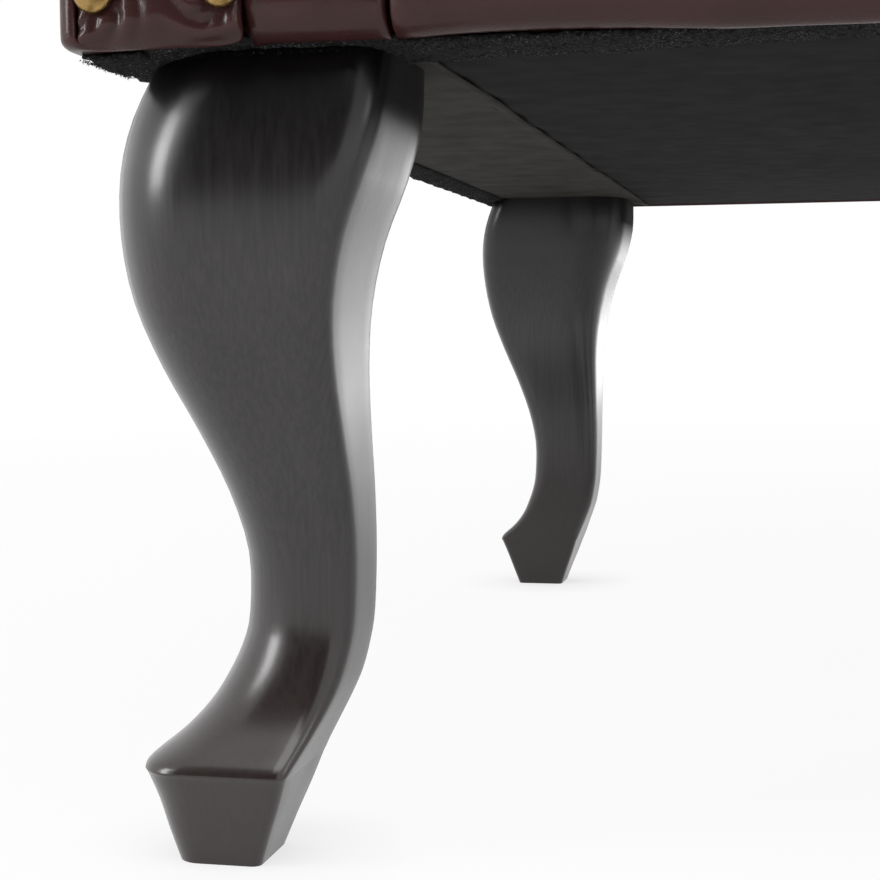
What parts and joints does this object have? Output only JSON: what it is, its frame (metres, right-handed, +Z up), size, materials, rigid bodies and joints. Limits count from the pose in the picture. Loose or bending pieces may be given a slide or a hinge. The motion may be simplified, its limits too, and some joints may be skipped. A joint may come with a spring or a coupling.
{
  "type": "wingback chair",
  "caption": "Wingback chair in oxblood leather with nailed rolled arms, a buttoned raked back, a loose seat cushion and short black cabriole legs.",
  "frame": {"origin": "on the floor, under the middle of the chair's outline", "axes": "+Z up, the chair faces -Y, +X to the right of someone who stands in front of it"},
  "size_m": [0.73, 0.745, 1.0699],
  "materials": {
    "oxblood_leather": "semi-gloss, pull-up burgundy",
    "welt_leather": "semi-gloss cord covered in the same leather",
    "stained_legs": "satin near-black stain",
    "frame_wood": "sawn, unfinished",
    "brass_nails": "aged",
    "foam": "upholstery foam",
    "webbing": "jute",
    "black_lining": "smooth black cambric",
    "black_felt": "fuzzy needled felt",
    "deck_cloth": "plain cotton",
    "zip": "metal zip",
    "steel": "zinc plated",
    "glide": "nylon"
  },
  "bodies": {
    "chair": {"arm_foam_left": "foam", "arm_foam_right": "foam", "arm_front_pads": "foam", "arm_inner_panels": "frame_wood", "arm_linings": "black_lining", "arm_posts": "frame_wood", "arm_rails": "frame_wood", "arm_tack_rails": "frame_wood", "back_buttons": "oxblood_leather", "back_foam": "foam", "back_posts": "frame_wood", "back_rail": "frame_wood", "back_straps": "webbing", "bolt_nuts": "steel", "corner_blocks": "frame_wood", "crest_rail": "frame_wood", "deck_cover": "deck_cloth", "deck_pad": "foam", "dust_cover": "black_lining", "facing_boards": "frame_wood", "facing_cover_left": "oxblood_leather", "facing_cover_right": "oxblood_leather", "facing_nails": "brass_nails", "front_border_cover": "oxblood_leather", "front_border_pad": "foam", "front_hem": "black_felt", "front_rail": "frame_wood", "hanger_bolts": "steel", "inside_arm_cover_left": "oxblood_leather", "inside_arm_cover_right": "oxblood_leather", "inside_back_cover": "oxblood_leather", "inside_wing_cover_left": "oxblood_leather", "inside_wing_cover_right": "oxblood_leather", "leg_front_left": "stained_legs", "leg_front_right": "stained_legs", "leg_glides": "glide", "leg_plates": "steel", "leg_rear_left": "stained_legs", "leg_rear_right": "stained_legs", "outside_arm_cover_left": "oxblood_leather", "outside_arm_cover_right": "oxblood_leather", "outside_back_cover": "oxblood_leather", "outside_back_nails": "brass_nails", "outside_wing_cover_left": "oxblood_leather", "outside_wing_cover_right": "oxblood_leather", "rear_rail": "frame_wood", "seat_burlap": "webbing", "seat_straps": "webbing", "side_rails": "frame_wood", "wing_foam_left": "foam", "wing_foam_right": "foam", "wing_frame_left": "frame_wood", "wing_frame_right": "frame_wood", "wing_nails": "brass_nails"},
    "seat_cushion": {"cushion_cover": "oxblood_leather", "cushion_foam": "foam", "cushion_welts": "welt_leather", "cushion_zip": "zip"}
  },
  "joints": [
    {"name": "cushion_lift", "type": "slide", "parent": "chair", "child": "seat_cushion", "axis": [0, 0, 1], "range_m": [0, 0.35]}
  ]
}
